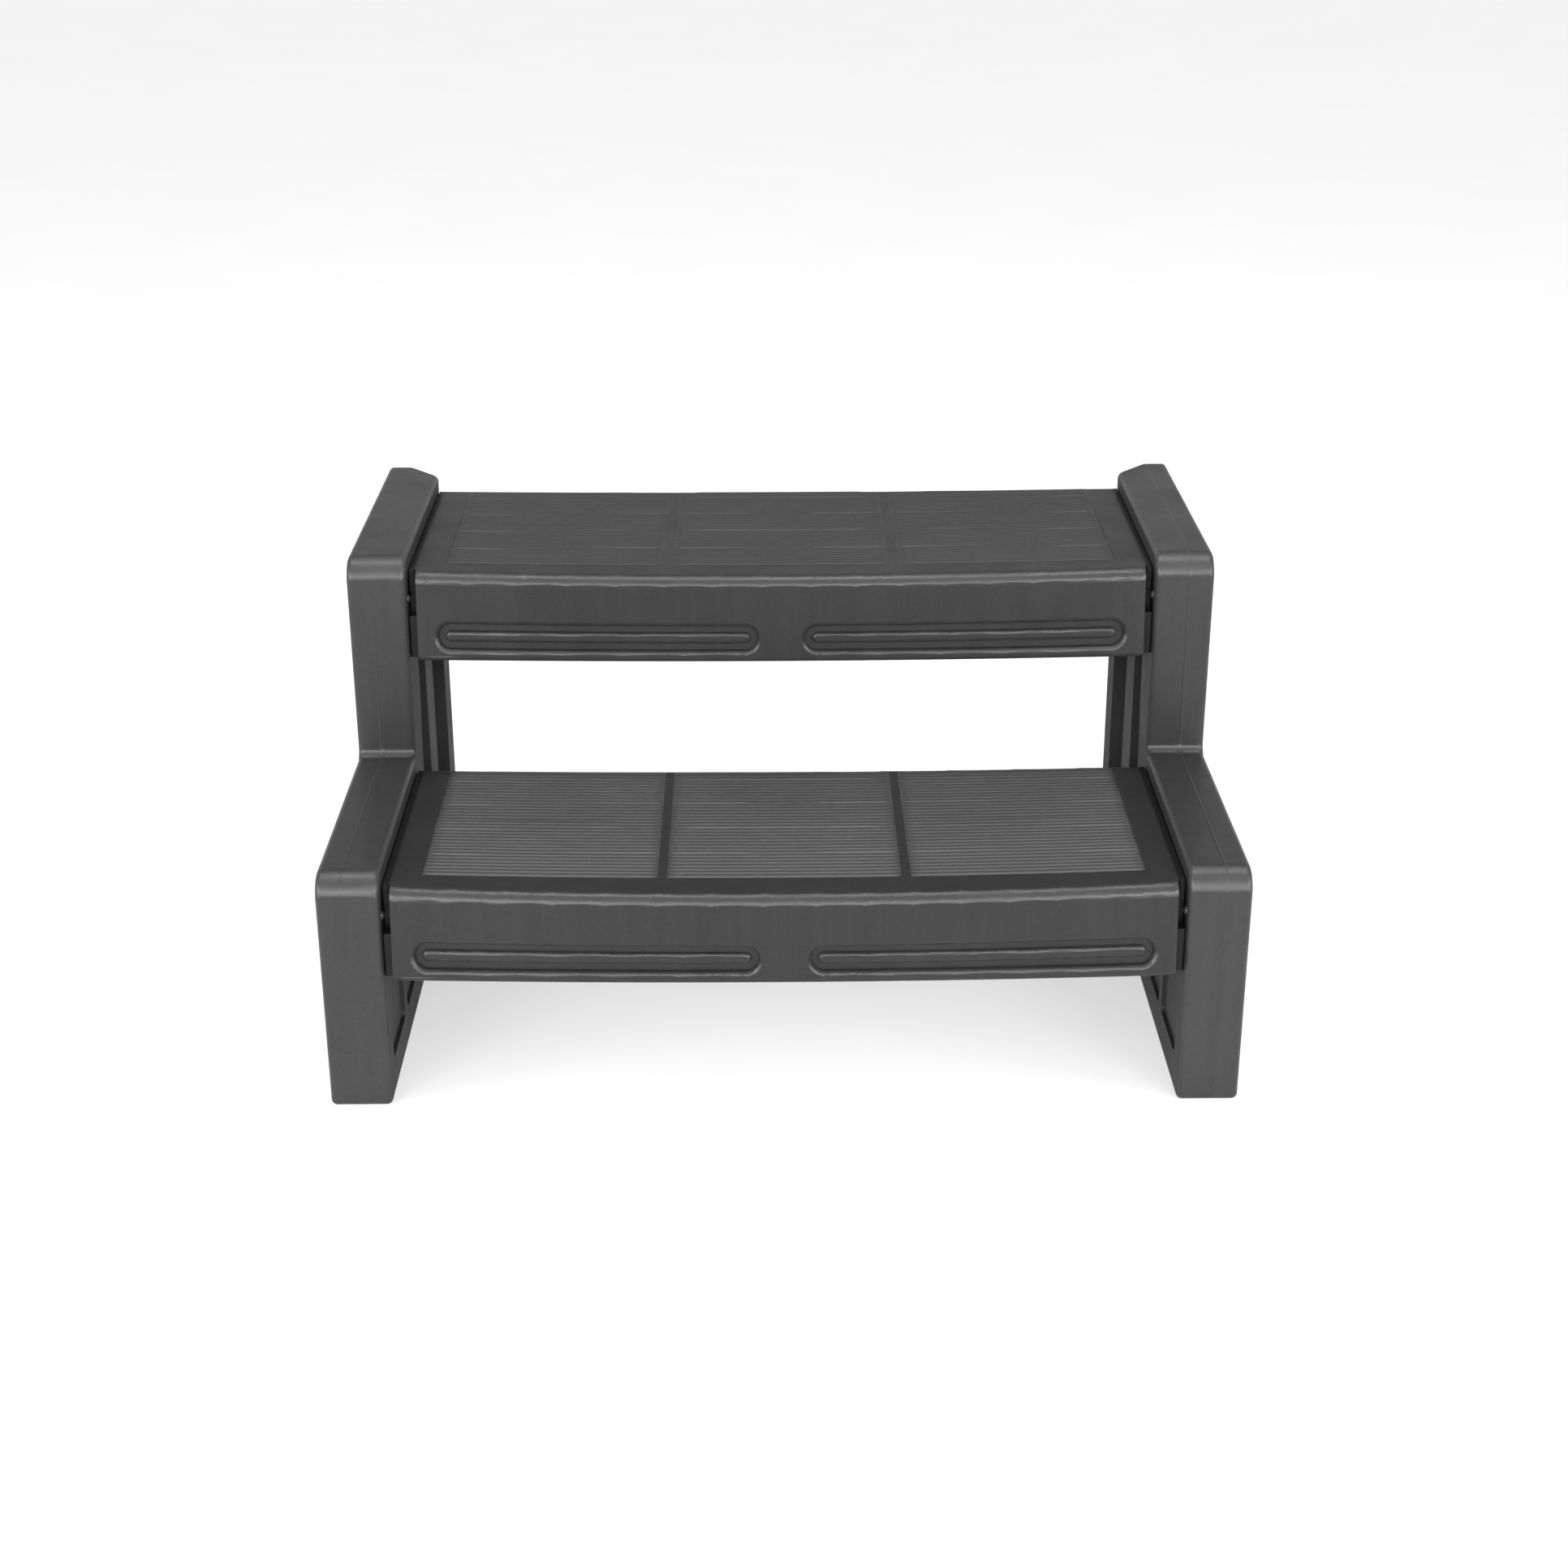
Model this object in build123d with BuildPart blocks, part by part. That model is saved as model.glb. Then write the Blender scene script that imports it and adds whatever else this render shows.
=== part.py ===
from build123d import *
import os

# Two-tread spa step: two hollow stair-shaped side panels carry two hollow treads.
#
# Frame: X across the step, Y from front (negative) to back, Z up from the ground.
# The origin is on the ground, in the middle of the width and of the depth. Millimetres.

os.makedirs("parts", exist_ok=True)

# ---------------------------------------------------------------- overall size
overall_width = 914
panel_depth = 670
nose_overhang = 16            # the middle of the lower tread stands this far before the panels
lower_panel_height = 253
upper_panel_height = 473
step_run = 311                # from the front of one step to the front of the next
step_rise = upper_panel_height - lower_panel_height

overall_depth = panel_depth + nose_overhang
panel_front = nose_overhang - overall_depth / 2
panel_back = overall_depth / 2

# ---------------------------------------------------------------- side panels
wall = 3.5                    # wall of every hollow moulding
panel_thickness = 62
outer_x = overall_width / 2
inner_x = outer_x - panel_thickness
nose_radius = 25              # front top edge of each step of the panel
inner_corner_radius = 9       # where the upper post meets the lower step
edge_radius = 6
back_chamfer_x = 34           # bevel down the inner back corner
back_chamfer_y = 38
back_chamfer_soften = 18
drain_radius = 3
drain_spots = (150, 500)      # drain holes under a panel, behind its front

outer_border = 42             # flat border round the sunk field of the outer face
outer_recess = 3
outer_corner_radius = 14

flute_depth = 14              # upright flutes of the inner face, behind the lower step
flute_bottom = 40
flute_top = 346
flute_edges = [(52, 113), (169, 269)]
flute_taper = 10              # the front of the first flute leans back under the upper tread
flute_taper_start = 215
flute_taper_end = 320

frame_depth = 4               # shallow sunk frames under the lower tread
frame_bottom = 38
frame_top = 128
frame_radius = 7
frame_edges = [(30, 121), (137, 285)]

# ---------------------------------------------------------------- treads
tread_drop = 15               # top of a tread below the top of the panel beside it
tread_height = 94
tread_gap = 2                 # open slit between the upper half of a tread end and its panel
end_trim = 8                  # cut off a wider slab, which leaves the top flat up to the slit
tread_half_width = inner_x - tread_gap
tread_front_end = 7           # front of the tread behind the panel front, at its ends
tread_foot_end = -6           # the same at the bottom of its skirt, which bows less
tread_back_end = 316
tread_back_middle = 306
tread_front_corner = 26
tread_back_corner = 14
tread_edge_radius = 13
tread_bottom_radius = 5
shoulder_drop = 48            # below this drop a tread end reaches its panel
shoulder_front = 7
shoulder_back = 302
shoulder_radius = 3
notch_width = 8               # notch down the front corner of each end, before the shoulder
notch_back = 20
notch_radius = 4

groove_inner_x = 25           # two long grooves in the front of a tread
groove_outer_x = 363
groove_height = 27
groove_centre_drop = 68
groove_depth = 6.5
groove_round = 5
bead_height = 12              # rounded bar along the middle of each groove
bead_rise = 4.5
bead_round = 4
drain_x = 300
drain_y = 150

# ---------------------------------------------------------------- tread joints
tongue_length = 18
tongue_height = 30
tongue_front = 56
tongue_back = 246
tongue_centre_drop = 71
tongue_radius = 5
socket_clearance = 0.4
socket_depth = 20
screw_offsets = (96, 206)     # screws behind the front of each step

screw_radius = 3
screw_length = 44
head_radius = 6.5
head_height = 4
head_round = 1.5
hex_radius = 2.9
hex_depth = 2.5
washer_radius = 8.5
washer_thickness = 1.6
washer_bore = 3.3
well_radius = 11
well_depth = 16
sleeve_radius = 15
screw_clearance = 3.4
insert_radius = 5.5
insert_length = 15
insert_bore = 3.15
insert_flange_radius = 7
insert_flange = 1.5
cap_disc_radius = 13
cap_disc_thickness = 2
cap_disc_round = 0.8
cap_ring_outer = 10.8
cap_ring_inner = 9
cap_ring_length = 7

# ---------------------------------------------------------------- worked out from the above
steps = {"lower": (0, 0), "upper": (step_run, step_rise)}
tread_top = lower_panel_height - tread_drop
tread_bottom = tread_top - tread_height
tongue_centre = tread_top - tongue_centre_drop
recess_x = outer_x - outer_recess
well_floor = recess_x - well_depth
socket_floor = inner_x + socket_depth
tongue_end = inner_x + tongue_length


def behind(offset, run=0):
    """Y of a place measured back from the front of the lower or the upper step."""
    return panel_front + run + offset


def stair_block(start_x, thickness, inset=0):
    """A plain stair-shaped block between two upright planes, its sides moved in by inset."""
    front = panel_front + inset
    post = behind(inset, step_run)
    back = panel_back - inset
    low = lower_panel_height - inset
    high = upper_panel_height - inset
    with BuildPart() as block:
        with BuildSketch(Plane.YZ.offset(start_x)):
            with BuildLine():
                Polyline(
                    (front, inset),
                    (front, low),
                    (post, low),
                    (post, high),
                    (back, high),
                    (back, inset),
                    close=True,
                )
            make_face()
        extrude(amount=thickness)
    return block.part


def back_bevel(inset=0):
    """The prism that bevels the inner back corner of a panel."""
    near = inner_x + inset
    far = panel_back - inset
    with BuildPart() as bevel:
        with BuildSketch():
            with BuildLine():
                slope = FilletPolyline(
                    (near, far - 3 * back_chamfer_y),
                    (near, far - back_chamfer_y),
                    (near + back_chamfer_x, far),
                    (near + 3 * back_chamfer_x, far),
                    radius=back_chamfer_soften,
                )
                Polyline(slope @ 1, (near - back_chamfer_x, far + back_chamfer_y), slope @ 0)
            make_face()
        extrude(amount=upper_panel_height)
    return bevel.part


def flutes(grow=0):
    """The upright flutes of the inner face. A positive grow leaves room for the wall."""
    with BuildPart() as tool:
        with BuildSketch(Plane.YZ.offset(inner_x)):
            for front, back in flute_edges:
                middle = behind((front + back) / 2, step_run)
                with Locations((middle, (flute_bottom + flute_top) / 2)):
                    Rectangle(back - front + 2 * grow, flute_top - flute_bottom + 2 * grow)
            edge = behind(flute_edges[0][0], step_run) - grow
            with BuildLine():
                Spline(
                    (edge, flute_taper_start),
                    (edge + flute_taper, flute_taper_end),
                    tangents=[(0, 1), (0, 1)],
                )
                Polyline(
                    (edge + flute_taper, flute_taper_end),
                    (edge + flute_taper, flute_top + grow),
                    (edge, flute_top + grow),
                    (edge, flute_taper_start),
                )
            make_face(mode=Mode.SUBTRACT)
        extrude(amount=flute_depth + grow)
    return tool.part


def sunk_frames(grow=0):
    """The shallow sunk frames of the inner face, under the lower tread."""
    with BuildPart() as tool:
        with BuildSketch(Plane.YZ.offset(inner_x)):
            for front, back in frame_edges:
                with Locations((behind((front + back) / 2), (frame_bottom + frame_top) / 2)):
                    RectangleRounded(
                        back - front + 2 * grow,
                        frame_top - frame_bottom + 2 * grow,
                        frame_radius + grow,
                    )
        extrude(amount=frame_depth + grow)
    return tool.part


def tongue_block(run, rise, length, grow=0):
    """A tread tongue on the right side, or the socket round it when grow is positive."""
    with BuildPart() as block:
        with BuildSketch(Plane.YZ.offset(inner_x)):
            with Locations((behind((tongue_front + tongue_back) / 2, run), tongue_centre + rise)):
                RectangleRounded(
                    tongue_back - tongue_front + 2 * grow,
                    tongue_height + 2 * grow,
                    tongue_radius + grow,
                )
        extrude(amount=length)
    return block.part


def screw_spots(run, rise):
    """Y and Z of the two screws of one tread end."""
    return [(behind(along, run), tongue_centre + rise) for along in screw_offsets]


def rods(spots, start_x, length, radius):
    """Round bars along X at the given Y and Z places."""
    with BuildPart() as bars:
        with BuildSketch(Plane.YZ.offset(start_x)):
            with Locations(*spots):
                Circle(radius)
        extrude(amount=length)
    return bars.part


def panel_cavity():
    """The hollow inside a side panel, kept one wall clear of every face and sleeve."""
    hollow_end = recess_x - wall
    inset = wall + 2
    with BuildPart() as cavity:
        add(stair_block(inner_x + wall, hollow_end - inner_x - wall, inset))
        across = cavity.edges().filter_by(Axis.X)
        noses = [
            across.sort_by_distance((outer_x, behind(0, run), lower_panel_height + rise))[0]
            for run, rise in steps.values()
        ]
        fillet(noses, nose_radius - inset)
        add(back_bevel(inset=wall), mode=Mode.SUBTRACT)
        add(flutes(grow=wall), mode=Mode.SUBTRACT)
        add(sunk_frames(grow=wall), mode=Mode.SUBTRACT)
        for run, rise in steps.values():
            reach = socket_depth + wall
            add(tongue_block(run, rise, reach, socket_clearance + wall), mode=Mode.SUBTRACT)
            sleeve = rods(screw_spots(run, rise), inner_x, outer_x - inner_x, sleeve_radius)
            add(sleeve, mode=Mode.SUBTRACT)
    return cavity.part


def outer_field():
    """The shallow stair-shaped field sunk in the outer face of a panel."""
    with BuildPart() as field:
        add(stair_block(recess_x, outer_recess, inset=outer_border))
        corners = field.edges().filter_by(Axis.X)
        fillet(corners, outer_corner_radius)
    return field.part


def side_panel():
    """The right side panel: a hollow stair-shaped moulding."""
    with BuildPart() as panel:
        add(stair_block(inner_x, panel_thickness))
        add(back_bevel(), mode=Mode.SUBTRACT)
        across = panel.edges().filter_by(Axis.X)
        lower_nose = across.sort_by_distance((outer_x, panel_front, lower_panel_height))[0]
        post_foot = across.sort_by_distance((outer_x, behind(0, step_run), lower_panel_height))[0]
        upper_nose = across.sort_by_distance((outer_x, behind(0, step_run), upper_panel_height))[0]
        fillet([lower_nose, upper_nose], nose_radius)
        fillet(
            panel.edges().filter_by(Axis.X).sort_by_distance(post_foot.center())[0],
            inner_corner_radius,
        )
        side_faces = panel.faces().filter_by(Axis.X).sort_by(Axis.X)
        rims = side_faces[0].outer_wire().edges() + side_faces[-1].outer_wire().edges()
        ends = [
            edge
            for edge in panel.edges().filter_by(Axis.X)
            if edge.center().Z < 1
            or (edge.center().Z > upper_panel_height - 1 and edge.center().Y > panel_back - 1)
        ]
        fillet(rims + ends, edge_radius)
        add(outer_field(), mode=Mode.SUBTRACT)
        add(flutes(), mode=Mode.SUBTRACT)
        add(sunk_frames(), mode=Mode.SUBTRACT)
        add(panel_cavity(), mode=Mode.SUBTRACT)
        for run, rise in steps.values():
            spots = screw_spots(run, rise)
            add(tongue_block(run, rise, socket_depth, socket_clearance), mode=Mode.SUBTRACT)
            add(rods(spots, well_floor, well_depth, well_radius), mode=Mode.SUBTRACT)
            through = well_floor - socket_floor
            add(rods(spots, socket_floor, through, screw_clearance), mode=Mode.SUBTRACT)
        with BuildSketch(Plane.XY):
            with Locations(*[((inner_x + outer_x) / 2, behind(spot)) for spot in drain_spots]):
                Circle(drain_radius)
        extrude(amount=2 * wall, mode=Mode.SUBTRACT)
    return panel.part


def tread_slab(inset, top=tread_top, bottom=tread_bottom, spare=0):
    """The outline of a tread moved in by inset: bowed front, hollowed back, rounded corners."""
    side = tread_half_width - inset + spare
    back = behind(tread_back_end - inset)
    front_middle = behind(inset - nose_overhang)
    back_middle = behind(tread_back_middle - inset)
    with BuildPart() as slab:
        for height in (bottom, top):
            fall = (tread_top - height) / tread_height
            end_offset = tread_front_end + fall * (tread_foot_end - tread_front_end)
            front = behind(end_offset + inset)
            with BuildSketch(Plane.XY.offset(height)) as plan:
                with BuildLine():
                    ThreePointArc((-side, front), (0, front_middle), (side, front))
                    Line((side, front), (side, back))
                    ThreePointArc((side, back), (0, back_middle), (-side, back))
                    Line((-side, back), (-side, front))
                make_face()
                corners = plan.vertices().sort_by(Axis.Y)
                fillet(corners[:2], tread_front_corner - inset)
                fillet(corners[2:], tread_back_corner - inset)
        loft(ruled=True)
    return slab.part


def front_slots(height, shorten=0):
    """Bars through the tread front in the outline of its two long grooves."""
    length = groove_outer_x - groove_inner_x - 2 * shorten
    middle_x = (groove_outer_x + groove_inner_x) / 2
    middle_z = tread_top - groove_centre_drop
    start_y = behind(-2 * nose_overhang)
    with BuildPart() as bars:
        with BuildSketch(Plane.XZ.offset(-start_y)):
            with Locations((-middle_x, middle_z), (middle_x, middle_z)):
                SlotOverall(length, height)
        extrude(amount=-5 * nose_overhang)
    return bars.part


def groove_cutter():
    """What is cut from the tread front for its grooves. The bar in each is left standing."""
    with BuildPart() as bead:
        add(front_slots(bead_height, shorten=(groove_height - bead_height) / 2))
        add(tread_slab(groove_depth - bead_rise), mode=Mode.INTERSECT)
    with BuildPart() as cutter:
        add(front_slots(groove_height))
        add(tread_slab(groove_depth), mode=Mode.SUBTRACT)
        add(bead.part, mode=Mode.SUBTRACT)
    return cutter.part


def is_bar_crest(face):
    """Whether a face is the long front of a groove's bar."""
    size = face.bounding_box().size
    return size.X > groove_outer_x / 2 and abs(size.Z - bead_height) < 0.1


def corner_notches(grow=0):
    """The notches down both front corners of a tread. A positive grow leaves room for the wall."""
    with BuildPart() as tool:
        with BuildSketch(Plane.XY.offset(tread_bottom)):
            with Locations((-tread_half_width, behind(0)), (tread_half_width, behind(0))):
                RectangleRounded(
                    2 * (notch_width + grow), 2 * (notch_back + grow), notch_radius + grow
                )
        extrude(amount=tread_height)
    return tool.part


def tread_cavity():
    """The hollow inside a tread, kept one wall clear of the grooves."""
    with BuildPart() as backing:
        add(front_slots(groove_height + 2 * wall, shorten=-wall))
        add(tread_slab(groove_depth + wall), mode=Mode.SUBTRACT)
    with BuildPart() as cavity:
        add(tread_slab(wall, top=tread_top - wall, bottom=tread_bottom + wall))
        fillet(cavity.faces().sort_by(Axis.Z)[-1].edges(), tread_edge_radius - wall)
        add(backing.part, mode=Mode.SUBTRACT)
        add(corner_notches(grow=wall), mode=Mode.SUBTRACT)
    return cavity.part


def lower_tread():
    """The lower tread: a hollow moulding with a shoulder and a tongue at each end."""
    spots = screw_spots(0, 0)
    bore_start = tongue_end - insert_length
    with BuildPart() as tread:
        add(tread_slab(0, spare=end_trim))
        fillet(tread.faces().sort_by(Axis.Z)[-1].edges(), tread_edge_radius)
        fillet(tread.faces().sort_by(Axis.Z)[0].edges(), tread_bottom_radius)
        Box(2 * tread_half_width, 2 * overall_depth, 2 * upper_panel_height, mode=Mode.INTERSECT)
        add(corner_notches(), mode=Mode.SUBTRACT)
        add(groove_cutter(), mode=Mode.SUBTRACT)
        front_face = tread.faces().sort_by(Axis.Y)[0]
        fillet([edge for wire in front_face.inner_wires() for edge in wire.edges()], groove_round)
        bar_crests = tread.faces().filter_by(is_bar_crest)
        fillet([edge for crest in bar_crests for edge in crest.outer_wire().edges()], bead_round)
        with BuildSketch(Plane.XY.offset(tread_bottom)):
            with Locations((0, behind((shoulder_front + shoulder_back) / 2))):
                RectangleRounded(2 * inner_x, shoulder_back - shoulder_front, shoulder_radius)
        extrude(amount=tread_height - shoulder_drop)
        add(tread_cavity(), mode=Mode.SUBTRACT)
        for about in (None, Plane.YZ):
            tongue = tongue_block(0, 0, tongue_length)
            bore = rods(spots, bore_start, insert_length, insert_radius)
            tip = rods(spots, tread_half_width, bore_start - tread_half_width, screw_clearance)
            for piece, how in ((tongue, Mode.ADD), (bore, Mode.SUBTRACT), (tip, Mode.SUBTRACT)):
                add(piece if about is None else piece.mirror(about), mode=how)
        with BuildSketch(Plane.XY.offset(tread_bottom)):
            with Locations((-drain_x, behind(drain_y)), (drain_x, behind(drain_y))):
                Circle(drain_radius)
        extrude(amount=2 * wall, mode=Mode.SUBTRACT)
    return tread.part


def screws(spots):
    """Pan-head machine screws along X, seen from outside, their heads on the washers."""
    seat = well_floor + washer_thickness
    with BuildPart() as group:
        add(rods(spots, seat - screw_length, screw_length, screw_radius))
        add(rods(spots, seat, head_height, head_radius))
        crowns = group.faces().filter_by(Axis.X).group_by(Axis.X)[-1]
        fillet(crowns.edges(), head_round)
        with BuildSketch(Plane.YZ.offset(seat + head_height)):
            with Locations(*spots):
                RegularPolygon(hex_radius, 6)
        extrude(amount=-hex_depth, mode=Mode.SUBTRACT)
    return group.part


def washers(spots):
    """Flat washers on the floors of the screw wells."""
    with BuildPart() as group:
        add(rods(spots, well_floor, washer_thickness, washer_radius))
        add(rods(spots, well_floor, washer_thickness, washer_bore), mode=Mode.SUBTRACT)
    return group.part


def inserts(spots):
    """Threaded inserts pressed into the end of a tongue, each with a thin flange."""
    start = tongue_end - insert_length
    with BuildPart() as group:
        add(rods(spots, start, insert_length, insert_radius))
        add(rods(spots, tongue_end, insert_flange, insert_flange_radius))
        add(rods(spots, start, insert_length + insert_flange, insert_bore), mode=Mode.SUBTRACT)
    return group.part


def caps(spots):
    """Plugs that close the screw wells: a thin domed disc and a ring that grips the well."""
    with BuildPart() as group:
        add(rods(spots, recess_x, cap_disc_thickness, cap_disc_radius))
        fillet(group.faces().sort_by(Axis.X).group_by(Axis.X)[-1].edges(), cap_disc_round)
        add(rods(spots, recess_x - cap_ring_length, cap_ring_length, cap_ring_outer))
        add(
            rods(spots, recess_x - cap_ring_length, cap_ring_length, cap_ring_inner),
            mode=Mode.SUBTRACT,
        )
    return group.part


def keep(piece, name):
    """Label one finished piece and write it."""
    piece.label = name
    export_step(piece, f"parts/{name}.step")


right_panel = side_panel()
keep(right_panel, "side_panel_right")
keep(right_panel.mirror(Plane.YZ), "side_panel_left")

tread_low = lower_tread()
keep(tread_low, "tread_lower")
keep(tread_low.moved(Location((0, step_run, step_rise))), "tread_upper")

for step, (run, rise) in steps.items():
    places = screw_spots(run, rise)
    hardware = {
        "screws": screws(places),
        "washers": washers(places),
        "threaded_inserts": inserts(places),
        "screw_caps": caps(places),
    }
    for kind, group in hardware.items():
        keep(group, f"{kind}_{step}_right")
        keep(group.mirror(Plane.YZ), f"{kind}_{step}_left")
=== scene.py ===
import math

import bpy
import numpy as np
from mathutils import Matrix, Vector


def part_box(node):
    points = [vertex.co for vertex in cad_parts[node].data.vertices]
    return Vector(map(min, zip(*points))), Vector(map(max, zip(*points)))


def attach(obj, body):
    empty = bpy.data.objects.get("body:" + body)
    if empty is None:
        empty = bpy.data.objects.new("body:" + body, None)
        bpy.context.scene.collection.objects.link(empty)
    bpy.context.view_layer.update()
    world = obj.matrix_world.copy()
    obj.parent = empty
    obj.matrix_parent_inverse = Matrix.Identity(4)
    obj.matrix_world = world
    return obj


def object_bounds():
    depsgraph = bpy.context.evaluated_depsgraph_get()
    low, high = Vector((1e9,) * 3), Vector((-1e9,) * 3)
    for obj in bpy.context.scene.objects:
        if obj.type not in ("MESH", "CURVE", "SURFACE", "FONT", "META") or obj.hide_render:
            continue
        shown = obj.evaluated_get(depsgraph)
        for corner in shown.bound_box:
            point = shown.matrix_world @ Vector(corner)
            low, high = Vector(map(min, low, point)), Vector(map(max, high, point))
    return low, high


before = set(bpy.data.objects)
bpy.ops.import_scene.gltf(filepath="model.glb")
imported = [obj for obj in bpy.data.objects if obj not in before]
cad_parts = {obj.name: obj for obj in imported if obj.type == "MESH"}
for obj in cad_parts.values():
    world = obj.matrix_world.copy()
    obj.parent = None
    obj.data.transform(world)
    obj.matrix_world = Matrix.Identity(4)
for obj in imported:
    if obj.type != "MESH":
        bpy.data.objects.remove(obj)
cad_low, cad_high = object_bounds()

# Two-tread spa step in dark grey resin. Metres, in the frame of the CAD model:
# X across the step, Y from front to back, Z up from the ground.

MM = 0.001

# ---------------------------------------------------------------- places that match the CAD
# The frame gives the box of each moulding. These are the CAD's own sizes within a moulding.
NOSE_BOW = 16 * MM                       # the middle of a tread stands this far before its step
STEP_RUN = 311 * MM                      # from the front of the lower step to the upper one
LOWER_PANEL_HEIGHT = 253 * MM            # the top of a side panel beside the lower tread
NOSE_RADIUS = 25 * MM                    # the rounded front top corners of a panel
POST_FOOT_RADIUS = 9 * MM                # the hollow corner where a panel's upright post starts
PANEL_EDGE_RADIUS = 6 * MM               # the rounding along a panel's foot and back
INNER_FACE_X = 395 * MM                  # the panels' faces that look at the treads

# ---------------------------------------------------------------- ribbed pads on the treads
PAD_HALF_WIDTH = 357 * MM
SEPARATOR_X = 120 * MM                   # two smooth strips part the three pads of a tread
SEPARATOR_WIDTH = 9 * MM
PAD_FRONT = 29 * MM                      # behind the front of the step, in the middle
PAD_FRONT_BOW = 12 * MM                  # further back by this much at the pad's outer ends
PAD_BACK = 294.5 * MM                    # the back of a pad, measured in the same way
PAD_BACK_BOW = 8 * MM
RIB_COUNT = 34
RIB_HEIGHT = 1.1 * MM
RIB_SAMPLES = 8                          # rows of vertices for one rib
RIB_END = 3 * MM                         # a rib rounds down to the tread over this length
PAD_COLUMNS = 44                         # vertices along a rib
PAD_SINK = 0.4 * MM                      # the underside of a pad lies this far inside the tread
BAR_RISE = {"lower": 0.3 * MM, "upper": 0.6 * MM}  # low bars that the fused underside leaves
BAR_LENGTH = 200 * MM
BAR_WIDTH = 25 * MM
BAR_PITCH_X = 262 * MM                   # the bars stand in rows, every other row shifted by half
BAR_PITCH_Y = 62 * MM
BAR_FIRST_Y = 97 * MM                    # the front row, behind the front of the step
BAR_LAST_ROW = 3
BAR_EDGE = 5 * MM                        # a bar rises over this width along its long sides

# ---------------------------------------------------------------- parting lines of the panels
SEAM_X = 431 * MM
SEAM_WIDTH = 3.2 * MM
SEAM_RISE = {"left": 0.12 * MM, "right": 0.3 * MM}
SEAM_SINK = 0.3 * MM                     # the underside of the line lies inside the panel
SEAM_STEP = 4 * MM                       # distance between the cross-sections of the line
SEAM_POINTS = 9                          # points over the crest of a cross-section
NOSE_ARC_STEP = 10                       # degrees between points round a nose
FOOT_ARC_STEP = 15                       # degrees between points round the foot of the post
BLISTER_RISE = 0.9 * MM                  # the line swells by this much in the foot of the post

# ---------------------------------------------------------------- locating pips
PIP_RADIUS = 4.5 * MM                    # small domes on the inner faces, beside the treads
PIP_RISE = 3.5 * MM
PIP_BEHIND = 12 * MM                     # behind the front of the step
PIP_DROP = 45 * MM                       # below the top of the panel
PIP_RINGS = (20, 40, 60, 80, 100)        # degrees from the tip; the last ring is in the panel
PIP_TURNS = 24                           # points round a ring

# ---------------------------------------------------------------- camera
CAMERA_PLACE = Vector((-0.0212, -2.5455, 1.3016))
CAMERA_YAW = 0.0094                      # turns in radians
CAMERA_PITCH = 0.405
CAMERA_ROLL = -0.0023
CAMERA_LENS = 58.1                       # millimetres
SENSOR = 36                              # millimetres

# ---------------------------------------------------------------- light and surroundings
# Each light: place, width, height, power in watts. The side lights stand on both sides.
OVERHEAD_STRIP = ((0, 0.1, 3.0), 3.2, 0.40, 34)
OVERHEAD_TARGET = (0, 0.1, 0)
FRONT_SOFTBOX = ((0, -4.2, 1.65), 2.4, 0.8, 46)
FRONT_SIDE_SOFTBOX = ((2.3, -3.6, 1.6), 1.8, 0.8, 54)
SIDE_SOFTBOX = ((3.3, -1.9, 1.5), 1.2, 0.8, 30)
SOFTBOX_TARGET = (0, 0, 0.3)
FRONT_WALL_STRENGTH = 0.70
BACK_WALL_STRENGTH = 0.47
CEILING_SHARE = 0.85                     # of the strength of the wall below it
FLOOR_HALF_SIZE = 30.0
FLOOR_GLOW = 0.50                        # the floor is lit from under like a light table

# ---------------------------------------------------------------- finish
PANEL_BASE = (0.038, 0.038, 0.039)
TREAD_BASE = (0.031, 0.031, 0.0315)
CAP_BASE = (0.036, 0.036, 0.037)
# Painted light: the lower ribs' colour is lighter than the upper ribs' own colour, in place of the
# light that the lower pads catch.
RIB_BASE_LOWER_PAINTED_LIGHTER = {"lower": (0.059, 0.059, 0.060), "upper": (0.031, 0.031, 0.032)}
STEEL_BASE = (0.60, 0.60, 0.61)
BRASS_BASE = (0.72, 0.52, 0.25)
# Painted shade: beyond RECESS_X the tread resin's colour is darkened in place of the shade that
# falls in the recess between a tread end and its panel.
RECESS_X = 385 * MM                      # the ends of a tread are recessed beyond this
RECESS_FADE = 2 * MM
RECESS_PAINTED_SHADE = 0.42                      # the share of its colour that the recess keeps under painted shade
WORN_EDGE = (0.97, 0.72)                 # see rounded_edge_mask: only well-rounded edges wear
LEAST_WEAR = 0.25                        # between the patches that are worn most
CREST_WEAR = 0.6                         # on the crests of the ribs
WEAR_LIGHTENING = 0.14                   # worn edges and crests are lighter by this share
WEAR_POLISH = 0.05                       # and smoother by this much
SHINY_EDGE = (0.99, 0.95)                # nearly all of an edge's rounding shines
EDGE_SOFTNESS = 0.07                     # where such an edge looks up, it is rougher by this
EDGE_GLOSS = 0.74                        # and have this specular level
SIDE_MATT = 0.42                         # the sides of the mouldings are rougher by this much

# ---------------------------------------------------------------- texture
# A scale is in features per metre. A stretch gives one for each axis.
NOISE_LOW = 0.3                          # nearly all noise lies between these two values
NOISE_HIGH = 0.7
PIGMENT_SCALE = 5.5
PIGMENT_SPREAD = 0.07                    # a spread is a share of the base colour, up and down
STREAK_STRETCH = (70, 70, 4)             # upright flow streaks
STREAK_SPREAD = 0.05
SPECKLE_SCALE = 420
SPECKLE_SPREAD = 0.05
WEAR_SCALE = 34
SCUFF_STRETCH = (9, 420, 300)
SCUFF_TURN = (0.1, 0.2, 0.5)             # radians
SCUFF_START = 0.73                       # scuffs lie where their noise is above this
SCUFF_FULL = 0.78
SCUFF_LIGHTENING = 0.16
MATT_SCALE = 16
MATT_LOWER = 0.05                        # the roughness varies by this much down and up
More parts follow.
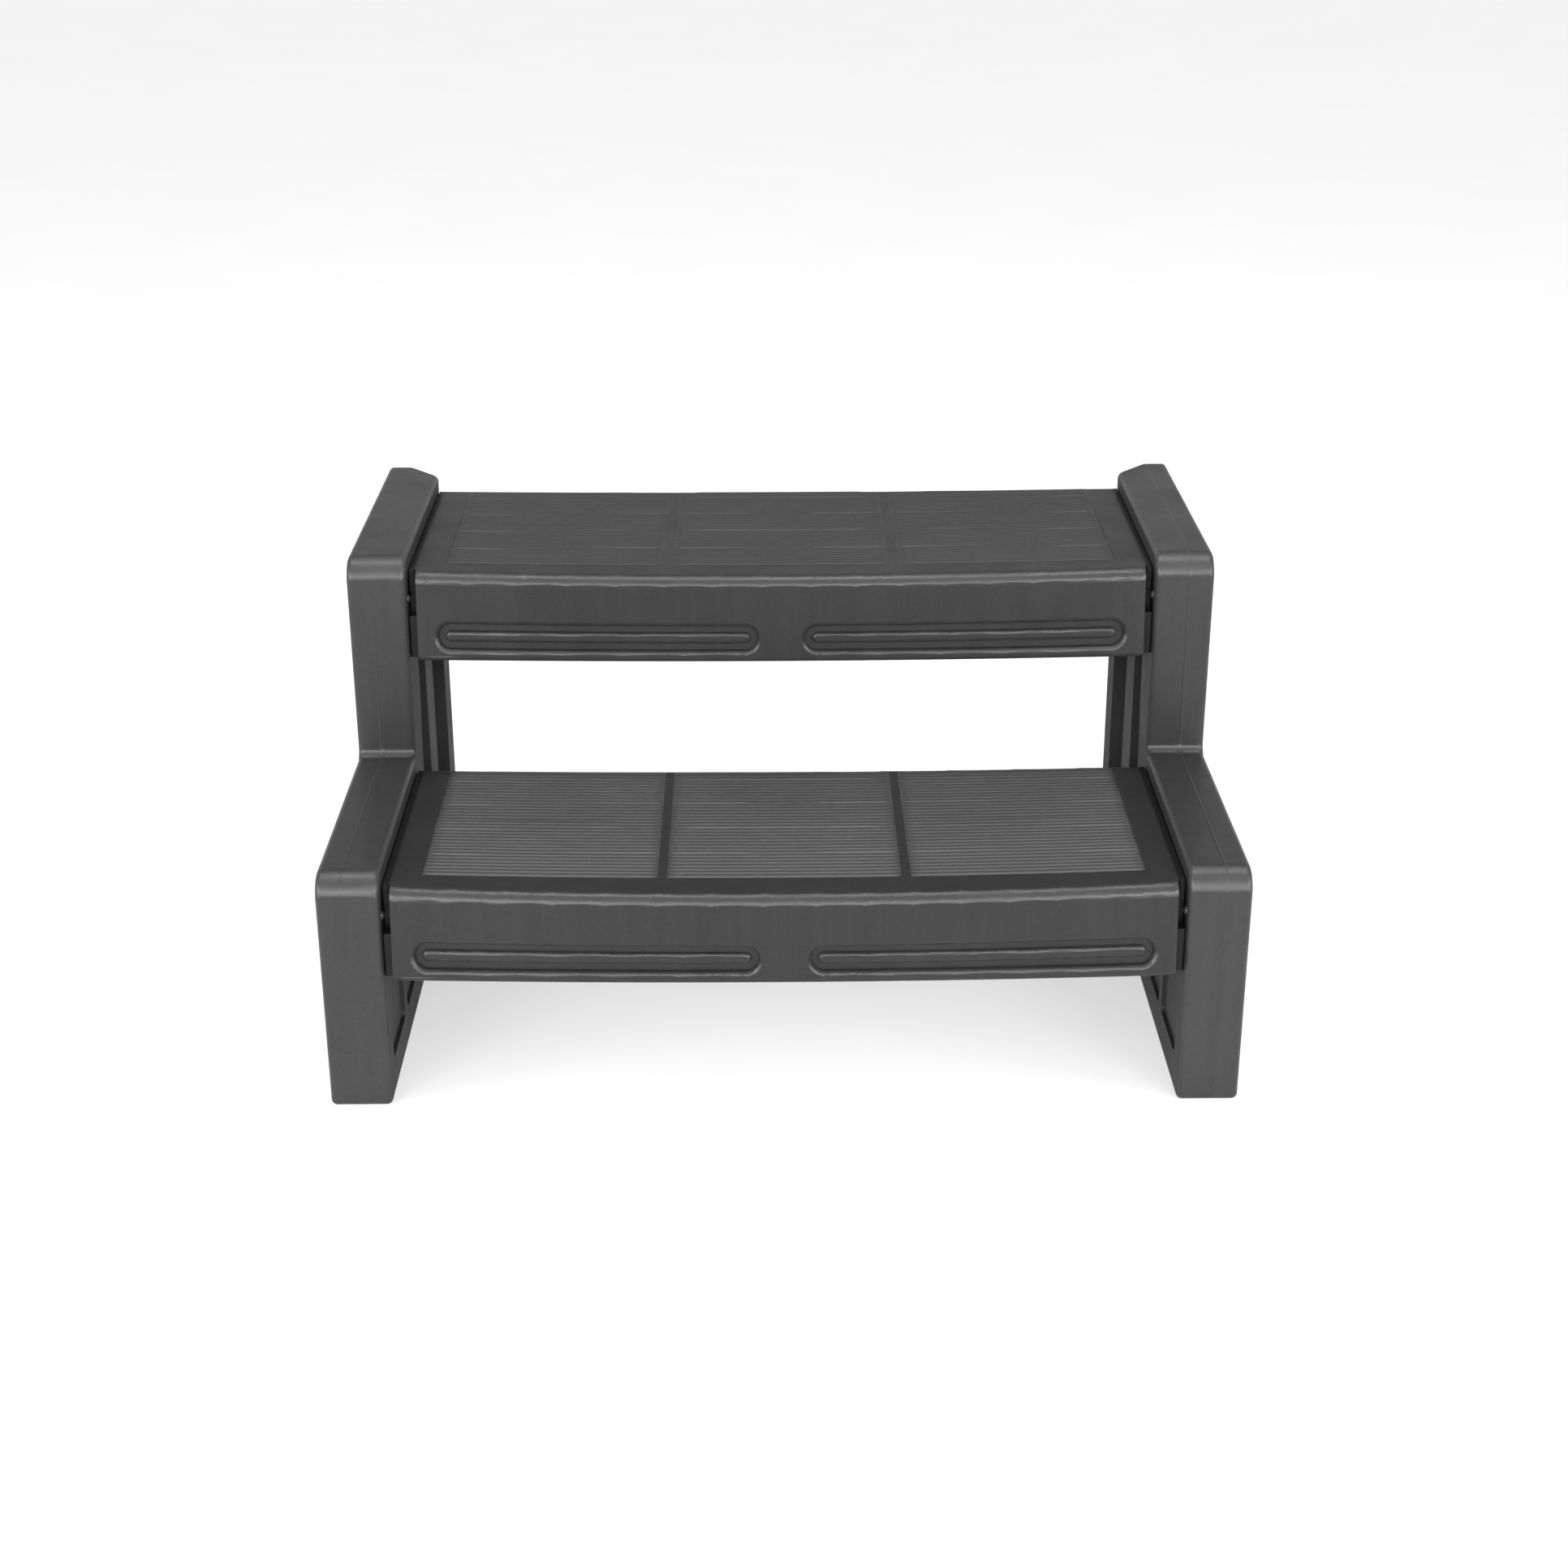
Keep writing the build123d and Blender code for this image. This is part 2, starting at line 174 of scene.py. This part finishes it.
MATT_UPPER = 0.06
GRAIN_SCALE = 650
GRAIN_DEPTH = 0.12 * MM
WAVE_STRETCH = (26, 26, 16)
WAVE_DEPTH = 0.25 * MM
RING_STRETCH = (2600, 300, 300)          # turning marks on the metal parts
RING_SPREAD = 0.05
RING_DEPTH = 0.02 * MM
STAIN_SCALE = 120
STAIN_DEPTH = 0.03 * MM
MOTTLE_SCALE = 3.0                       # the floor

SIDES = {"left": -1, "right": 1}


# ================================================================ node helpers
def put(tree, kind, inputs=None, **settings):
    """Add a node. An input given as a socket is linked, any other value is set on the socket."""
    node = tree.nodes.new(kind)
    for key, value in settings.items():
        setattr(node, key, value)
    for key, value in (inputs or {}).items():
        socket = node.inputs[key]
        if isinstance(value, bpy.types.NodeSocket):
            tree.links.new(value, socket)
        else:
            socket.default_value = value
    return node


def arithmetic(tree, operation, first, second):
    """One math node and its result."""
    node = put(tree, "ShaderNodeMath", {0: first, 1: second}, operation=operation)
    return node.outputs[0]


def remap(tree, value, low, high, to_low, to_high):
    """Map a value from one range to another with soft ends."""
    node = put(
        tree,
        "ShaderNodeMapRange",
        {"Value": value, "From Min": low, "From Max": high, "To Min": to_low, "To Max": to_high},
        interpolation_type="SMOOTHSTEP",
    )
    return node.outputs["Result"]


def stretched(tree, coordinates, scale, turn=(0, 0, 0)):
    """Coordinates scaled by a different amount along each axis."""
    node = put(
        tree, "ShaderNodeMapping", {"Vector": coordinates, "Scale": scale, "Rotation": turn}
    )
    return node.outputs["Vector"]


def noise(tree, coordinates, scale, detail=4.0, roughness=0.55):
    """Noise between 0 and 1 over the object's own coordinates."""
    node = put(
        tree,
        "ShaderNodeTexNoise",
        {"Vector": coordinates, "Scale": scale, "Detail": detail, "Roughness": roughness},
    )
    return node.outputs["Fac"]


def spread(tree, value, low, high):
    """Map noise to the range from low to high, over the values that noise nearly always has."""
    return remap(tree, value, NOISE_LOW, NOISE_HIGH, low, high)


def along_axis(tree, vector, axis):
    """The part of a vector along one axis."""
    return put(tree, "ShaderNodeSeparateXYZ", {0: vector}).outputs[axis]


def surface_normal(tree):
    """The direction that the surface looks in."""
    return put(tree, "ShaderNodeNewGeometry").outputs["Normal"]


def rounded_edge_mask(tree, flat, full):
    """1 on rounded edges, where the normal lies between the axes, and 0 on flat faces.

    Flat and full are the sizes of the normal's largest part at which the mask starts and ends.
    """
    size = put(tree, "ShaderNodeVectorMath", {0: surface_normal(tree)}, operation="ABSOLUTE")
    parts = put(tree, "ShaderNodeSeparateXYZ", {0: size.outputs["Vector"]})
    largest = arithmetic(tree, "MAXIMUM", parts.outputs["X"], parts.outputs["Y"])
    largest = arithmetic(tree, "MAXIMUM", largest, parts.outputs["Z"])
    return remap(tree, largest, flat, full, 0.0, 1.0)


def upward_mask(tree):
    """1 where the surface looks at least a little upward, 0 where it looks level or down."""
    return remap(tree, along_axis(tree, surface_normal(tree), "Z"), 0.10, 0.25, 0.0, 1.0)


def side_mask(tree):
    """1 on upright faces that look along X, 0 on the others."""
    across = along_axis(tree, surface_normal(tree), "X")
    return remap(tree, arithmetic(tree, "ABSOLUTE", across, 0.0), 0.8, 0.99, 0.0, 1.0)


def start_material(name):
    """An empty node material and its object coordinates."""
    material = bpy.data.materials.new(name)
    material.use_nodes = True
    tree = material.node_tree
    tree.nodes.clear()
    coordinates = put(tree, "ShaderNodeTexCoord").outputs["Object"]
    return material, tree, coordinates


def finish_material(tree, shader_inputs):
    """A Principled shader with these inputs, linked to the output."""
    shader = put(tree, "ShaderNodeBsdfPrincipled", shader_inputs)
    put(tree, "ShaderNodeOutputMaterial", {"Surface": shader.outputs["BSDF"]})


def two_bumps(tree, fine, fine_depth, broad, broad_depth):
    """A normal from fine grain laid over broad waviness. Depths in metres."""
    waves = put(tree, "ShaderNodeBump", {"Height": broad, "Distance": broad_depth})
    grain = put(
        tree,
        "ShaderNodeBump",
        {"Height": fine, "Distance": fine_depth, "Normal": waves.outputs["Normal"]},
    )
    return grain.outputs["Normal"]


# ================================================================ materials
def resin(name, base, roughness, gloss, crest=None, recess_x=None):
    """Moulded polyethylene: fine grain, uneven pigment, flow streaks, worn edges and scuffs.

    The sides, which the mould leaves coarser, shine less than the fronts and the tops, and the
    rounded edges that look up shine more, over a wide and soft band.
    Crest is the lowest and highest height of a ribbed pad, whose crests are rubbed lighter.
    Beyond recess_x on both sides, painted shade darkens the recess between a tread end and its
    panel.
    """
    material, tree, place = start_material(name)
    pigment = noise(tree, place, PIGMENT_SCALE, detail=5.0)
    pigment = spread(tree, pigment, -PIGMENT_SPREAD, PIGMENT_SPREAD)
    streaks = noise(tree, stretched(tree, place, STREAK_STRETCH), 1.0, detail=3.0)
    streaks = remap(tree, streaks, 0.35, 0.7, -STREAK_SPREAD, STREAK_SPREAD)
    speckle = noise(tree, place, SPECKLE_SCALE, detail=2.0)
    speckle = spread(tree, speckle, -SPECKLE_SPREAD, SPECKLE_SPREAD)
    patches = remap(tree, noise(tree, place, WEAR_SCALE), 0.35, 0.65, LEAST_WEAR, 1.0)
    wear = arithmetic(tree, "MULTIPLY", rounded_edge_mask(tree, *WORN_EDGE), patches)
    if crest:
        rubbed = remap(tree, along_axis(tree, place, "Z"), *crest, 0.0, CREST_WEAR)
        wear = arithmetic(tree, "ADD", wear, rubbed)
    scuffs = noise(tree, stretched(tree, place, SCUFF_STRETCH, SCUFF_TURN), 1.0, detail=2.0)
    scuffs = remap(tree, scuffs, SCUFF_START, SCUFF_FULL, 0.0, SCUFF_LIGHTENING)
    level = arithmetic(tree, "ADD", pigment, streaks)
    level = arithmetic(tree, "ADD", level, speckle)
    worn = arithmetic(tree, "MULTIPLY", wear, WEAR_LIGHTENING)
    level = arithmetic(tree, "ADD", level, worn)
    level = arithmetic(tree, "ADD", level, scuffs)
    level = arithmetic(tree, "ADD", level, 1.0)
    matt = noise(tree, place, MATT_SCALE, detail=5.0)
    matt = spread(tree, matt, roughness - MATT_LOWER, roughness + MATT_UPPER)
    matt = arithmetic(tree, "SUBTRACT", matt, arithmetic(tree, "MULTIPLY", wear, WEAR_POLISH))
    coarser = arithmetic(tree, "MULTIPLY", side_mask(tree), SIDE_MATT)
    matt = arithmetic(tree, "ADD", matt, coarser)
    nose = arithmetic(tree, "MULTIPLY", rounded_edge_mask(tree, *SHINY_EDGE), upward_mask(tree))
    matt = arithmetic(tree, "ADD", matt, arithmetic(tree, "MULTIPLY", nose, EDGE_SOFTNESS))
    shine = arithmetic(tree, "MULTIPLY", nose, EDGE_GLOSS - gloss)
    shine = arithmetic(tree, "ADD", shine, gloss)
    # Painted shade: the colour is darkened beyond recess_x, where the recess between a tread end
    # and its panel lies in shade.
    if recess_x:
        across = arithmetic(tree, "ABSOLUTE", along_axis(tree, place, "X"), 0.0)
        painted_shade = remap(tree, across, recess_x, recess_x + RECESS_FADE, 1.0, RECESS_PAINTED_SHADE)
        level = arithmetic(tree, "MULTIPLY", level, painted_shade)
    colour = put(tree, "ShaderNodeVectorMath", {0: base, "Scale": level}, operation="SCALE")
    grain = noise(tree, place, GRAIN_SCALE, detail=3.0, roughness=0.6)
    waves = noise(tree, stretched(tree, place, WAVE_STRETCH), 1.0, detail=2.0)
    finish_material(
        tree,
        {
            "Base Color": colour.outputs["Vector"],
            "Roughness": matt,
            "Specular IOR Level": shine,
            "Normal": two_bumps(tree, grain, GRAIN_DEPTH, waves, WAVE_DEPTH),
        },
    )
    return material


def turned_metal(name, base, roughness):
    """Turned steel or brass: fine rings about X, stains and handling marks."""
    material, tree, place = start_material(name)
    rings = noise(tree, stretched(tree, place, RING_STRETCH), 1.0, detail=2.0)
    stains = noise(tree, place, STAIN_SCALE)
    stained = spread(tree, stains, 0.82, 1.05)
    ringed = spread(tree, rings, -RING_SPREAD, RING_SPREAD)
    level = arithmetic(tree, "ADD", stained, ringed)
    colour = put(tree, "ShaderNodeVectorMath", {0: base, "Scale": level}, operation="SCALE")
    finish_material(
        tree,
        {
            "Base Color": colour.outputs["Vector"],
            "Metallic": 1.0,
            "Roughness": spread(tree, stains, roughness - 0.06, roughness + 0.1),
            "Normal": two_bumps(tree, rings, RING_DEPTH, stains, STAIN_DEPTH),
        },
    )
    return material


def pale_floor():
    """A plain pale studio floor with the faintest mottling, which glows a little."""
    material, tree, place = start_material("pale_floor")
    mottle = noise(tree, place, MOTTLE_SCALE)
    level = spread(tree, mottle, 0.74, 0.76)
    colour = put(tree, "ShaderNodeCombineColor", {"Red": level, "Green": level, "Blue": level})
    finish_material(
        tree,
        {
            "Base Color": colour.outputs["Color"],
            "Roughness": spread(tree, mottle, 0.7, 0.8),
            "Specular IOR Level": 0.2,
            "Emission Color": (1, 1, 1, 1),
            "Emission Strength": FLOOR_GLOW,
        },
    )
    return material


# ================================================================ shapes
def mesh_piece(name, points, faces, material):
    """A new mesh piece that rides with the step."""
    mesh = bpy.data.meshes.new(name)
    mesh.from_pydata(points, [], faces)
    mesh.validate()
    mesh.update()
    mesh.polygons.foreach_set("use_smooth", [True] * len(mesh.polygons))
    mesh.materials.append(material)
    piece = bpy.data.objects.new(name, mesh)
    bpy.context.scene.collection.objects.link(piece)
    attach(piece, "root")


def soft_step(distance, edge):
    """0 outside, 1 inside, with a rounded step as wide as the edge. Distance is positive inside."""
    share = np.clip(distance / edge, 0, 1)
    return share * share * (3 - 2 * share)


def low_bars(x, along):
    """Height share of the low staggered bars at x and at a distance behind the step's front."""
    row = np.round((along - BAR_FIRST_Y) / BAR_PITCH_Y)
    across = along - BAR_FIRST_Y - row * BAR_PITCH_Y
    shift = np.where(row % 2 == 0, BAR_PITCH_X / 2, 0.0)
    beside = (x - shift) - BAR_PITCH_X * np.round((x - shift) / BAR_PITCH_X)
    inside_x = BAR_LENGTH / 2 - np.abs(beside)
    inside_y = BAR_WIDTH / 2 - np.abs(across)
    rows_used = (row >= 0) & (row <= BAR_LAST_ROW)
    return rows_used * soft_step(inside_x, 2 * BAR_EDGE) * soft_step(inside_y, BAR_EDGE)


def ribbed_pad(name, step, start_x, end_x, material):
    """One pad of a tread: bowed ribs that run across the step, on a closed thin slab."""
    low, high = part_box(f"tread_{step}")
    step_front = low.y + NOSE_BOW
    rows = RIB_COUNT * RIB_SAMPLES + 1
    share = np.linspace(0, 1, rows)[:, None]
    ease = np.linspace(0, 1, PAD_COLUMNS)[None, :]
    x = start_x + (end_x - start_x) * ease + 0 * share
    bow = (x / PAD_HALF_WIDTH) ** 2
    front = PAD_FRONT + PAD_FRONT_BOW * bow
    back = PAD_BACK + PAD_BACK_BOW * bow
    along = front + (back - front) * share
    ridge = 0.5 - 0.5 * np.cos(2 * math.pi * RIB_COUNT * share)
    end = soft_step(np.minimum(x - start_x, end_x - x), RIB_END)
    border = soft_step(np.minimum(along - front, back - along), RIB_END)
    rise = RIB_HEIGHT * ridge * end + BAR_RISE[step] * low_bars(x, along) * end * border
    top = np.stack([x, step_front + along, high.z + rise], axis=-1).reshape(-1, 3)
    bottom = top.copy()
    bottom[:, 2] = high.z - PAD_SINK
    points = np.concatenate([top, bottom]).tolist()
    count = rows * PAD_COLUMNS
    starts = [row * PAD_COLUMNS for row in range(rows)]
    faces = [
        (near + column, near + column + 1, far + column + 1, far + column)
        for near, far in zip(starts[:-1], starts[1:])
        for column in range(PAD_COLUMNS - 1)
    ]
    faces += [tuple(count + corner for corner in reversed(face)) for face in faces]
    rim = list(range(PAD_COLUMNS))
    rim += [start + PAD_COLUMNS - 1 for start in starts[1:]]
    rim += [starts[-1] + column for column in range(PAD_COLUMNS - 2, -1, -1)]
    rim += starts[-2:0:-1]
    faces += [
        (corner, corner + count, following + count, following)
        for corner, following in zip(rim, rim[1:] + rim[:1])
    ]
    mesh_piece(name, points, faces, material)


def ribbed_pads(step, material):
    """The three pads of one tread."""
    half_gap = SEPARATOR_WIDTH / 2
    spans = {
        "left": (-PAD_HALF_WIDTH, -SEPARATOR_X - half_gap),
        "middle": (-SEPARATOR_X + half_gap, SEPARATOR_X - half_gap),
        "right": (SEPARATOR_X + half_gap, PAD_HALF_WIDTH),
    }
    for side, (start_x, end_x) in spans.items():
        ribbed_pad(f"ribbed_pad_{step}_{side}", step, start_x, end_x, material)


def panel_outline(box_low, box_high):
    """Points and outward normals (Y, Z) along the middle of a panel's front and top faces."""
    front = box_low.y
    post = front + STEP_RUN
    path = [((front, box_low.z + PANEL_EDGE_RADIUS), (-1, 0))]
    for edge_y, top, end_y in (
        (front, LOWER_PANEL_HEIGHT, post - POST_FOOT_RADIUS),
        (post, box_high.z, box_high.y - PANEL_EDGE_RADIUS),
    ):
        path.append(((edge_y, top - NOSE_RADIUS), (-1, 0)))
        for turn in np.radians(np.arange(NOSE_ARC_STEP, 90, NOSE_ARC_STEP)):
            normal = (-math.cos(turn), math.sin(turn))
            middle = (edge_y + NOSE_RADIUS, top - NOSE_RADIUS)
            path.append((tuple(m + NOSE_RADIUS * n for m, n in zip(middle, normal)), normal))
        path.append(((edge_y + NOSE_RADIUS, top), (0, 1)))
        path.append(((end_y, top), (0, 1)))
        if edge_y == front:
            for turn in np.radians(np.arange(90 - FOOT_ARC_STEP, 0, -FOOT_ARC_STEP)):
                normal = (-math.cos(turn), math.sin(turn))
                middle = (post - POST_FOOT_RADIUS, top + POST_FOOT_RADIUS)
                spot = tuple(m - POST_FOOT_RADIUS * n for m, n in zip(middle, normal))
                path.append((spot, normal))
            path.append(((post, top + POST_FOOT_RADIUS), (-1, 0)))
    return path


def evenly_spaced(path):
    """The same path with points no further apart than SEAM_STEP."""
    spaced = []
    for (start, start_normal), (end, end_normal) in zip(path[:-1], path[1:]):
        count = max(1, math.ceil(math.dist(start, end) / SEAM_STEP))
        for share in np.arange(count) / count:
            spot = [a + (b - a) * share for a, b in zip(start, end)]
            normal = [a + (b - a) * share for a, b in zip(start_normal, end_normal)]
            spaced.append((spot, normal))
    spaced.append(path[-1])
    return spaced


def parting_line(side, sign, material):
    """The fine raised line that the mould leaves along the front and top of a side panel."""
    low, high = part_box(f"side_panel_{side}")
    path = evenly_spaced(panel_outline(low, high))
    foot = (low.y + STEP_RUN - POST_FOOT_RADIUS / 2, LOWER_PANEL_HEIGHT + POST_FOOT_RADIUS / 2)
    across = np.linspace(-1, 1, SEAM_POINTS)
    section = [(share, math.cos(share * math.pi / 2) ** 2) for share in across]
    section += [(1, None), (-1, None)]
    points = []
    for spot, normal in path:
        near = math.exp(-((math.dist(spot, foot) / POST_FOOT_RADIUS) ** 2))
        crest = SEAM_RISE[side] + BLISTER_RISE * near
        for share, height in section:
            rise = -SEAM_SINK if height is None else crest * height
            x = sign * SEAM_X + share * SEAM_WIDTH / 2 * (1 + near)
            points.append((x, spot[0] + normal[0] * rise, spot[1] + normal[1] * rise))
    width = len(section)
    faces = [
        (
            row * width + column,
            row * width + (column + 1) % width,
            (row + 1) * width + (column + 1) % width,
            (row + 1) * width + column,
        )
        for row in range(len(path) - 1)
        for column in range(width)
    ]
    faces += [tuple(reversed(range(width)))]
    faces += [tuple((len(path) - 1) * width + column for column in range(width))]
    mesh_piece(f"parting_line_{side}", points, faces, material)


def locating_pips(side, sign, material):
    """A small dome on the inner face of a panel beside the front of each tread."""
    low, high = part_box(f"side_panel_{side}")
    for step, run, top in (("lower", 0, LOWER_PANEL_HEIGHT), ("upper", STEP_RUN, high.z)):
        points = [(sign * (INNER_FACE_X - PIP_RISE), low.y + run + PIP_BEHIND, top - PIP_DROP)]
        turns = np.linspace(0, 2 * math.pi, PIP_TURNS, endpoint=False)
        rings = np.radians(PIP_RINGS)
        for ring in rings:
            x = INNER_FACE_X - PIP_RISE * math.cos(ring)
            for turn in turns:
                y = low.y + run + PIP_BEHIND + PIP_RADIUS * math.sin(ring) * math.cos(turn)
                z = top - PIP_DROP + PIP_RADIUS * math.sin(ring) * math.sin(turn)
                points.append((sign * x, y, z))
        count = len(turns)
        faces = [(0, 1 + i, 1 + (i + 1) % count) for i in range(count)]
        for ring in range(len(rings) - 1):
            start = 1 + ring * count
            for i in range(count):
                j = (i + 1) % count
                faces.append((start + i, start + count + i, start + count + j, start + j))
        faces.append(tuple(len(points) - 1 - i for i in range(count)))
        if sign < 0:
            faces = [tuple(reversed(face)) for face in faces]
        mesh_piece(f"locating_pip_{step}_{side}", points, faces, material)


# ================================================================ scene
def add_camera():
    """The camera, from its place and its three turns."""
    forward = Vector(
        (
            math.sin(CAMERA_YAW) * math.cos(CAMERA_PITCH),
            math.cos(CAMERA_YAW) * math.cos(CAMERA_PITCH),
            -math.sin(CAMERA_PITCH),
        )
    )
    level = Vector((math.cos(CAMERA_YAW), -math.sin(CAMERA_YAW), 0))
    upright = level.cross(forward)
    right = math.cos(CAMERA_ROLL) * level + math.sin(CAMERA_ROLL) * upright
    above = math.cos(CAMERA_ROLL) * upright - math.sin(CAMERA_ROLL) * level
    turn = Matrix((right, above, -forward)).transposed()
    data = bpy.data.cameras.new("camera")
    data.lens = CAMERA_LENS
    data.sensor_width = SENSOR
    camera = bpy.data.objects.new("camera", data)
    camera.matrix_world = Matrix.Translation(CAMERA_PLACE) @ turn.to_4x4()
    bpy.context.scene.collection.objects.link(camera)
    bpy.context.scene.camera = camera


def area_light(name, light, target, sign=1):
    """A soft rectangular light aimed at a point. Sign -1 puts it on the other side."""
    (x, y, z), width, height, power = light
    data = bpy.data.lights.new(name, "AREA")
    data.shape = "RECTANGLE"
    data.size = width
    data.size_y = height
    data.energy = power
    lamp = bpy.data.objects.new(name, data)
    lamp.location = (sign * x, y, z)
    aim = Vector(target) - lamp.location
    lamp.rotation_mode = "QUATERNION"
    lamp.rotation_quaternion = aim.to_track_quat("-Z", "Y")
    bpy.context.scene.collection.objects.link(lamp)


def studio_world():
    """Soft surroundings: bright walls in front, duller behind and overhead."""
    world = bpy.data.worlds.new("studio")
    world.use_nodes = True
    tree = world.node_tree
    tree.nodes.clear()
    direction = put(tree, "ShaderNodeTexCoord").outputs["Generated"]
    parts = put(tree, "ShaderNodeSeparateXYZ", {0: direction})
    wall = remap(
        tree, parts.outputs["Y"], -0.5, 0.5, FRONT_WALL_STRENGTH, BACK_WALL_STRENGTH
    )
    ceiling = remap(tree, parts.outputs["Z"], 0.45, 0.62, 1.0, CEILING_SHARE)
    strength = arithmetic(tree, "MULTIPLY", wall, ceiling)
    background = put(tree, "ShaderNodeBackground", {"Strength": strength})
    background.inputs["Color"].default_value = (1, 1, 1, 1)
    put(tree, "ShaderNodeOutputWorld", {"Surface": background.outputs["Background"]})
    bpy.context.scene.world = world


def add_floor(material):
    """A large plain floor under the step."""
    mesh = bpy.data.meshes.new("studio_floor")
    corners = [
        (x * FLOOR_HALF_SIZE, y * FLOOR_HALF_SIZE, cad_low.z)
        for x, y in ((-1, -1), (1, -1), (1, 1), (-1, 1))
    ]
    mesh.from_pydata(corners, [], [(0, 1, 2, 3)])
    mesh.materials.append(material)
    floor = bpy.data.objects.new("studio_floor", mesh)
    bpy.context.scene.collection.objects.link(floor)


add_camera()
studio_world()
area_light("overhead_strip", OVERHEAD_STRIP, OVERHEAD_TARGET)
area_light("front_softbox", FRONT_SOFTBOX, SOFTBOX_TARGET)
for side, sign in SIDES.items():
    area_light(f"front_softbox_{side}", FRONT_SIDE_SOFTBOX, SOFTBOX_TARGET, sign)
    area_light(f"side_softbox_{side}", SIDE_SOFTBOX, SOFTBOX_TARGET, sign)
add_floor(pale_floor())

panel_resin = resin("panel_resin", PANEL_BASE, roughness=0.33, gloss=0.24)
# The tread resin carries painted shade in the recesses at both ends of each tread.
tread_resin = resin("tread_resin", TREAD_BASE, roughness=0.33, gloss=0.15, recess_x=RECESS_X)
cap_resin = resin("cap_resin", CAP_BASE, roughness=0.42, gloss=0.36)
steel = turned_metal("stainless_steel", STEEL_BASE, roughness=0.3)
brass = turned_metal("brass", BRASS_BASE, roughness=0.28)
finishes = {
    "side_panel": panel_resin,
    "tread": tread_resin,
    "screw_caps": cap_resin,
    "screws": steel,
    "washers": steel,
    "threaded_inserts": brass,
}
for node_name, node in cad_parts.items():
    for start, finish in finishes.items():
        if node_name.startswith(start):
            for material_slot in node.material_slots:
                material_slot.material = finish

for step, rib_base in RIB_BASE_LOWER_PAINTED_LIGHTER.items():
    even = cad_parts[f"tread_{step}"].modifiers.new("even_shading", "WEIGHTED_NORMAL")
    even.mode = "FACE_AREA_WITH_ANGLE"
    even.keep_sharp = True
    tread_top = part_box(f"tread_{step}")[1].z
    crests = (tread_top, tread_top + RIB_HEIGHT)
    # For the lower tread, rib_base is painted lighter to stand in for the light its ribs catch; the
    # upper value is the ribs' own colour.
    rib_resin = resin(
        f"rib_resin_{step}", rib_base, roughness=0.36, gloss=0.36, crest=crests
    )
    ribbed_pads(step, rib_resin)

for side, sign in SIDES.items():
    parting_line(side, sign, panel_resin)
    locating_pips(side, sign, panel_resin)

bpy.context.scene.view_settings.view_transform = "Standard"
